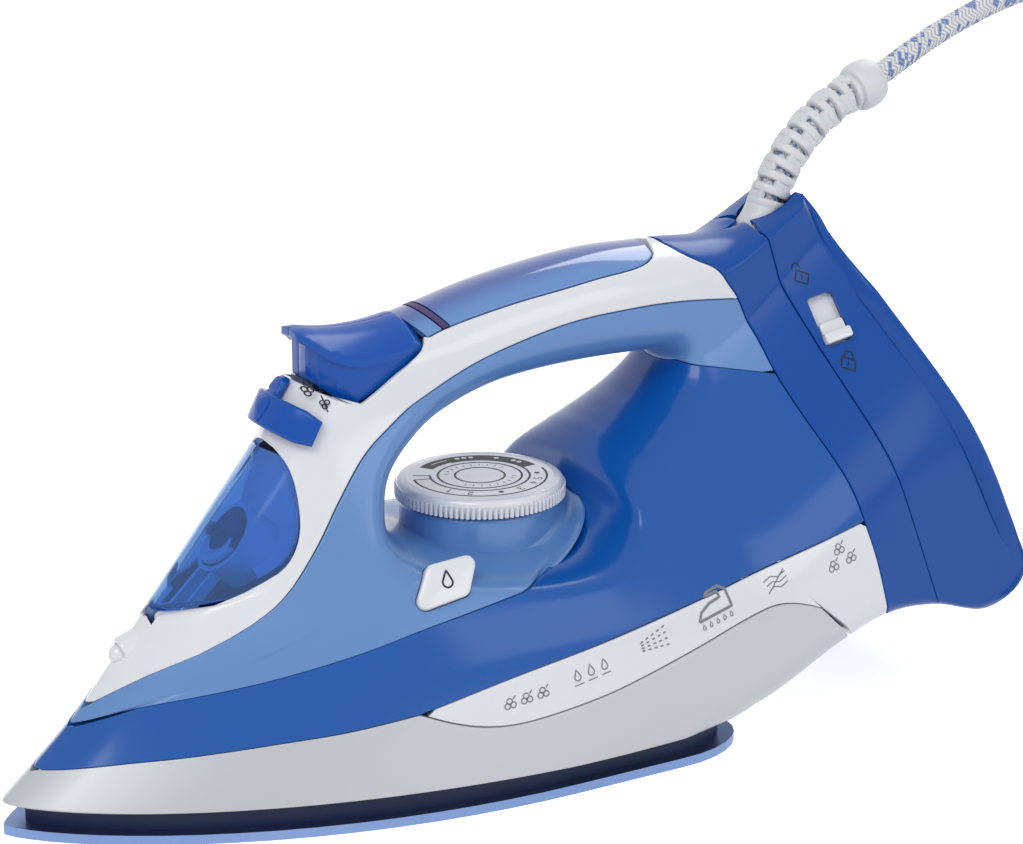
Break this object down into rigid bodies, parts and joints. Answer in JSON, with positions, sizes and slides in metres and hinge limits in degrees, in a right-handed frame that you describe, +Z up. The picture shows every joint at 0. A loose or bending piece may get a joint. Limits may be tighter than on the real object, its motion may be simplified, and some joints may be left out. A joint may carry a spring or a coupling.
{
  "type": "cordless steam iron",
  "caption": "Steam iron with water tank, dial, steam lever, spray and steam triggers, and a lock-on power heel that carries a curved cord guard and a mains cord.",
  "frame": {"origin": "Bottom centre of the iron with its heel, on the table under the sole; the free cord and its plug are left out of this.", "axes": "+X runs from the nose to the heel, +Y to the left of somebody who holds the handle and looks at the nose, and +Z up."},
  "size_m": [0.4384, 0.1742, 0.2121],
  "materials": {
    "sole_steel": "brushed, vented",
    "cast_aluminium": "as cast",
    "heater_sheath": "dull tube",
    "heat_ring_plastic": "fine grain",
    "skirt_silver": "metallic silver lacquer",
    "shell_white": "glossy moulding",
    "tank_blue": "translucent deep blue",
    "grip_light_blue": "satin moulding",
    "window_blue": "clear blue window",
    "grip_insert": "translucent pad",
    "seal_dark": "soft seal",
    "heel_blue": "glossy moulding",
    "button_blue": "glossy moulding",
    "inner_plastic": "plain moulding",
    "dark_plastic": "plain moulding",
    "steel_small": "plain",
    "contact_brass": "plated",
    "lamp_amber": "clear lens",
    "foot_rubber": "soft pads",
    "guard_white": "soft white sleeve",
    "cord_braid": "woven sleeve, white with blue flecks",
    "plug_white": "glossy moulding"
  },
  "bodies": {
    "iron": {"soleplate": "sole_steel", "sole_casting": "cast_aluminium", "heating_element": "heater_sheath", "chamber_cover": "cast_aluminium", "heat_ring": "heat_ring_plastic", "skirt": "skirt_silver", "side_band": "shell_white", "water_tank": "tank_blue", "lower_handle": "grip_light_blue", "handle_shell": "shell_white", "handle_insert": "grip_insert", "insert_tip": "grip_insert", "insert_seal": "seal_dark", "rear_cover": "heel_blue", "chassis": "inner_plastic", "case_screws": "steel_small", "thermostat": "inner_plastic", "thermal_fuse": "inner_plastic", "steam_valve": "contact_brass", "lever_hub": "inner_plastic", "spray_pump": "inner_plastic", "steam_pump": "inner_plastic", "spray_spring": "steel_small", "steam_spring": "steel_small", "spray_nozzle": "shell_white", "spray_hose": "inner_plastic", "filler_bowl": "inner_plastic", "lid_pin": "steel_small", "dial_bush": "inner_plastic", "clean_valve": "inner_plastic", "pilot_lamp": "lamp_amber", "contact_block": "dark_plastic", "contact_blades": "contact_brass"},
    "dial": {"dial": "shell_white"},
    "steam_lever": {"steam_lever": "button_blue"},
    "steam_needle": {"valve_needle": "steel_small"},
    "spray_trigger": {"spray_trigger": "button_blue"},
    "steam_trigger": {"steam_trigger": "button_blue"},
    "clean_button": {"clean_button": "shell_white", "clean_spring": "steel_small"},
    "filler_lid": {"filler_lid": "window_blue", "filler_seal": "seal_dark"},
    "heel": {"dock_shell": "heel_blue", "dock_back": "heel_blue", "dock_feet": "foot_rubber", "dock_sockets": "dark_plastic", "dock_screws": "steel_small", "cord_guard": "guard_white", "cord_clamp": "dark_plastic", "cord": "cord_braid", "cord_coil": "cord_braid", "plug_body": "plug_white", "plug_pins": "steel_small"},
    "heel_lock": {"lock_slider": "shell_white", "lock_hook": "steel_small"}
  },
  "joints": [
    {"name": "dial_turn", "type": "hinge", "parent": "iron", "child": "dial", "pos_m": [-0.00775, 0, 0.075], "axis": [0, 0, 1], "range_deg": [0, 270]},
    {"name": "steam_lever_swing", "type": "hinge", "parent": "iron", "child": "steam_lever", "pos_m": [-0.05925, 0, 0.1], "axis": [0.4695, 0, 0.8829], "range_deg": [-20, 20]},
    {"name": "needle_slide", "type": "slide", "parent": "iron", "child": "steam_needle", "axis": [0, 0, 1], "range_m": [-0.0021, 0.0021]},
    {"name": "spray_press", "type": "slide", "parent": "iron", "child": "spray_trigger", "axis": [0, 0, -1], "range_m": [0, 0.004], "stiffness_N_per_m": 800, "springref_m": -0.001, "deforming": ["spray_spring"]},
    {"name": "steam_press", "type": "slide", "parent": "iron", "child": "steam_trigger", "axis": [0, 0, -1], "range_m": [0, 0.004], "stiffness_N_per_m": 800, "springref_m": -0.001, "deforming": ["steam_spring"]},
    {"name": "clean_press", "type": "slide", "parent": "iron", "child": "clean_button", "axis": [0.1785, 0.8329, -0.5238], "range_m": [0, 0.003], "stiffness_N_per_m": 600, "springref_m": -0.0015},
    {"name": "filler_lid_hinge", "type": "hinge", "parent": "iron", "child": "filler_lid", "pos_m": [-0.11, 0, 0.0552], "axis": [0, -1, 0], "range_deg": [0, 70]},
    {"name": "heel_release", "type": "slide", "parent": "iron", "child": "heel", "axis": [0.9406, 0, 0.3396], "range_m": [0, 0.06]},
    {"name": "lock_slide", "type": "slide", "parent": "heel", "child": "heel_lock", "axis": [-0.1244, 0.5272, 0.8406], "range_m": [0, 0.008]}
  ],
  "couplings": [
    {"joint": "needle_slide", "follows": "steam_lever_swing", "m_per_rad": 0.006}
  ]
}
